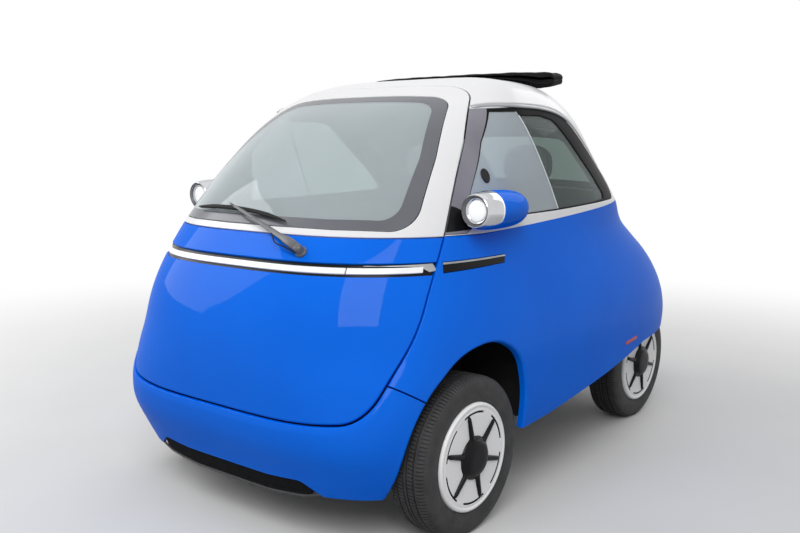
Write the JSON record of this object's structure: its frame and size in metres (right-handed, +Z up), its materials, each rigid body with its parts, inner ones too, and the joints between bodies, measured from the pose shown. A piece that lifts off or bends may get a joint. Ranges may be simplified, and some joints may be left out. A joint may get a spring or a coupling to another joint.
{
  "type": "microcar",
  "caption": "Small rounded two-seat electric city car with a side-hinged front door that carries the windscreen, lamp pods on the door posts, a cloth roof folded open and narrow-set rear wheels.",
  "frame": {"origin": "on the ground under the middle of the overall box", "axes": "+Z up, the nose faces -Y, +X is the car's left side"},
  "size_m": [1.46, 2.5241, 1.521],
  "materials": {
    "blue_paint": "gloss",
    "white_paint": "gloss",
    "clear_glass": "clear",
    "black_gloss": "gloss",
    "black_trim": "satin",
    "black_cloth": "matt",
    "dark_tub": "matt",
    "grey_metal": "satin",
    "grey_cloth": "matt",
    "dark_plastic": "matt",
    "chrome": "polished",
    "lamp_glass": "clear",
    "tyre": "matt",
    "white_wheel": "satin"
  },
  "bodies": {
    "body": {"roof_shell": "white_paint", "window_frames": "black_gloss", "side_glass": "clear_glass", "side_trims": "black_trim", "body_side_left": "blue_paint", "body_side_right": "blue_paint", "front_bumper": "blue_paint", "bumper_grille": "black_trim", "rear_bumper": "blue_paint", "soft_top": "black_cloth", "chassis_tub": "dark_tub", "battery_pack": "grey_metal", "drive_motor": "grey_metal", "front_axle": "grey_metal", "rear_axle": "grey_metal", "seat_cushion": "grey_cloth", "seat_back": "grey_cloth", "seat_base": "dark_tub", "headrests": "grey_cloth", "steering_column": "dark_plastic", "lamp_pods": "chrome", "lamp_lenses": "lamp_glass"},
    "front_door": {"front_door_panel": "blue_paint", "door_frame": "white_paint", "windscreen": "clear_glass", "front_light_bar": "black_trim", "wiper": "black_trim"},
    "tailgate": {"hatch_panel": "blue_paint", "hatch_frame": "white_paint", "rear_glass": "clear_glass", "rear_light_bar": "black_trim"},
    "left_knuckle": {"knuckle_left": "grey_metal"},
    "right_knuckle": {"knuckle_right": "grey_metal"},
    "steering_rim": {"steering_wheel": "dark_plastic"},
    "wheel_front_left": {"tyre_front_left": "tyre", "rim_front_left": "white_wheel", "cap_front_left": "black_trim"},
    "wheel_front_right": {"tyre_front_right": "tyre", "rim_front_right": "white_wheel", "cap_front_right": "black_trim"},
    "wheel_rear_left": {"tyre_rear_left": "tyre", "rim_rear_left": "white_wheel", "cap_rear_left": "black_trim"},
    "wheel_rear_right": {"tyre_rear_right": "tyre", "rim_rear_right": "white_wheel", "cap_rear_right": "black_trim"}
  },
  "joints": [
    {"name": "front_door_hinge", "type": "hinge", "parent": "body", "child": "front_door", "pos_m": [0.65, -1.1395, 0.56], "axis": [0, 0.2079, 0.9781], "range_deg": [0, 75]},
    {"name": "tailgate_hinge", "type": "hinge", "parent": "body", "child": "tailgate", "pos_m": [0, 0.4075, 1.352], "axis": [1, 0, 0], "range_deg": [0, 60]},
    {"name": "steer_left", "type": "hinge", "parent": "body", "child": "left_knuckle", "pos_m": [0.59, -0.7895, 0.2666], "axis": [0, 0, 1], "range_deg": [-25, 25]},
    {"name": "steer_right", "type": "hinge", "parent": "body", "child": "right_knuckle", "pos_m": [-0.59, -0.7895, 0.2666], "axis": [0, 0, 1], "range_deg": [-25, 25]},
    {"name": "steering_turn", "type": "hinge", "parent": "body", "child": "steering_rim", "pos_m": [0.28, -0.7145, 0.9], "axis": [0, 0.8829, 0.4695], "range_deg": [-400, 400]},
    {"name": "roll_front_left", "type": "hinge", "parent": "left_knuckle", "child": "wheel_front_left", "pos_m": [0.632, -0.7895, 0.2666], "axis": [1, 0, 0], "continuous": true},
    {"name": "roll_front_right", "type": "hinge", "parent": "right_knuckle", "child": "wheel_front_right", "pos_m": [-0.632, -0.7895, 0.2666], "axis": [1, 0, 0], "continuous": true},
    {"name": "roll_rear_left", "type": "hinge", "parent": "body", "child": "wheel_rear_left", "pos_m": [0.488, 0.7815, 0.2666], "axis": [1, 0, 0], "continuous": true},
    {"name": "roll_rear_right", "type": "hinge", "parent": "body", "child": "wheel_rear_right", "pos_m": [-0.488, 0.7815, 0.2666], "axis": [1, 0, 0], "continuous": true}
  ],
  "couplings": [
    {"joint": "steer_right", "follows": "steer_left", "ratio": 1},
    {"joint": "steering_turn", "follows": "steer_left", "ratio": 16}
  ]
}
